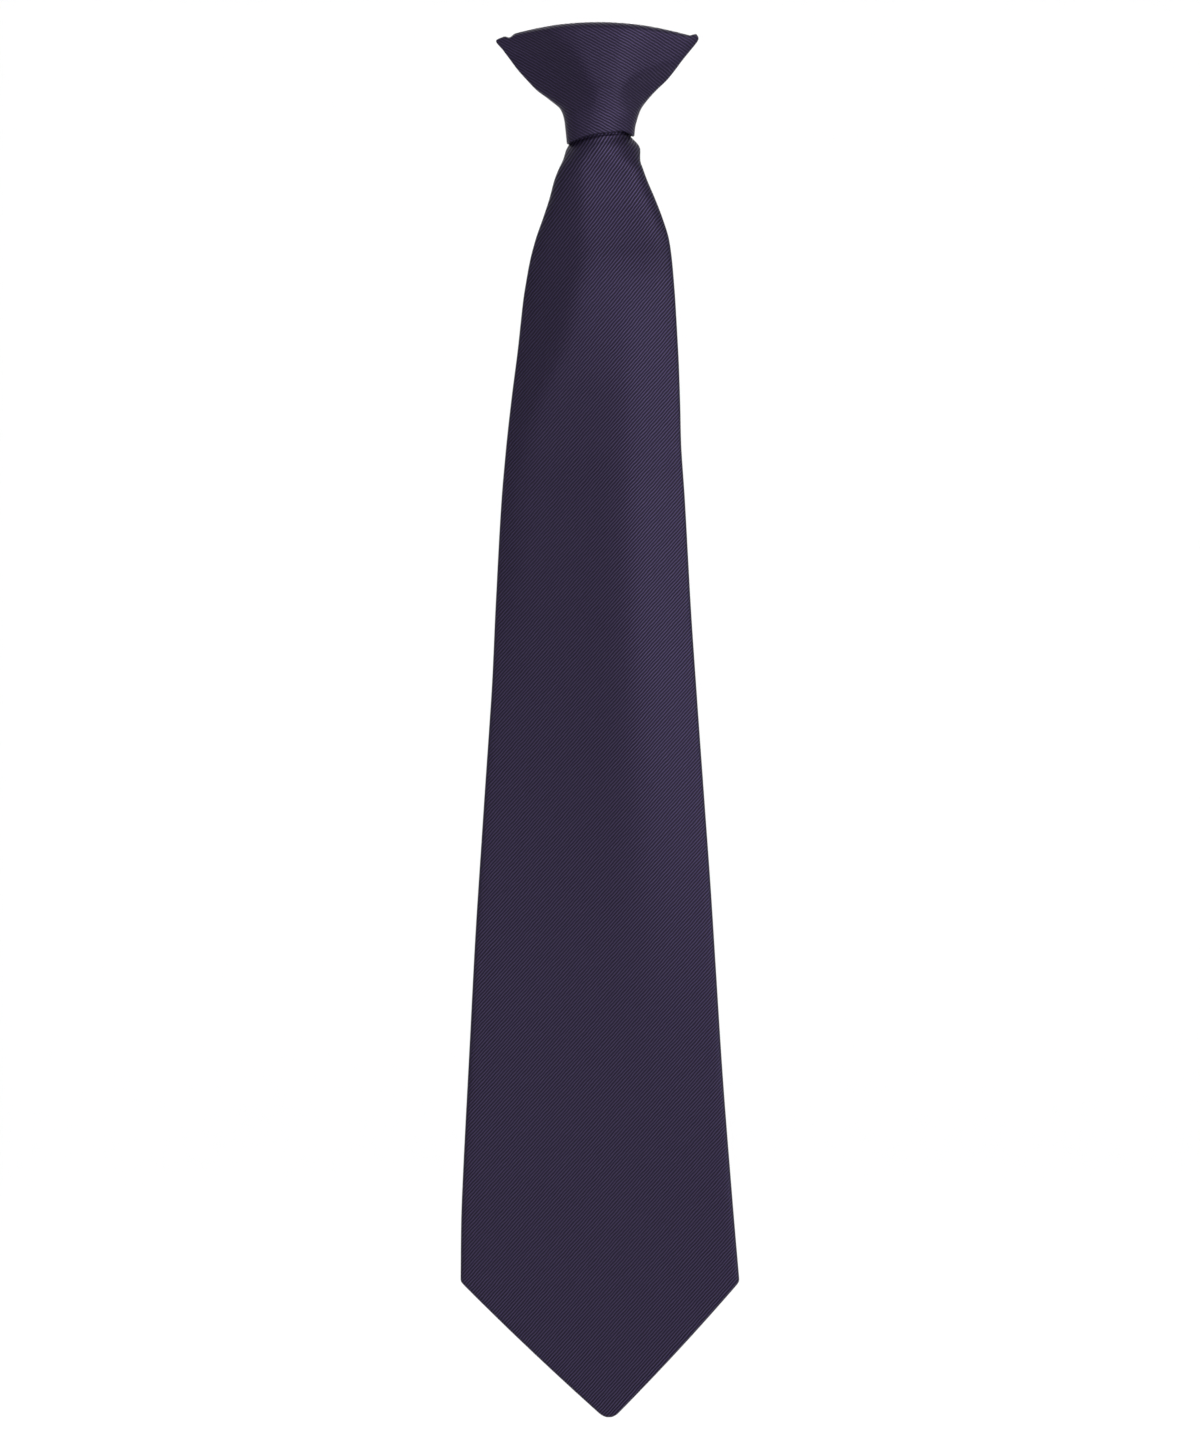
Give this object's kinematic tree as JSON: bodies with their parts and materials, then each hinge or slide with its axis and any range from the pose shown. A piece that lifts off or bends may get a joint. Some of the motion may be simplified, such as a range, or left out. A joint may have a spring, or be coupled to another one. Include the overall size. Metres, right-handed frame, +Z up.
{
  "type": "clip-on tie",
  "caption": "Clip-on necktie with a ready-made winged knot, a folded twill blade with a hemmed point, and a J-shaped clip behind the knot.",
  "frame": {"origin": "underside of the clip's bight, in the middle of the gap that takes the collar band", "axes": "+Z up, -Y towards the tie's front, +X to the right as seen from the front"},
  "size_m": [0.0896, 0.0238, 0.4502],
  "materials": {
    "twill": "dark navy-purple diagonal twill with a soft sheen",
    "clip_steel": "satin spring steel"
  },
  "bodies": {
    "root": {"blade": "twill", "knot_wrap": "twill", "clip": "clip_steel"}
  },
  "joints": []
}
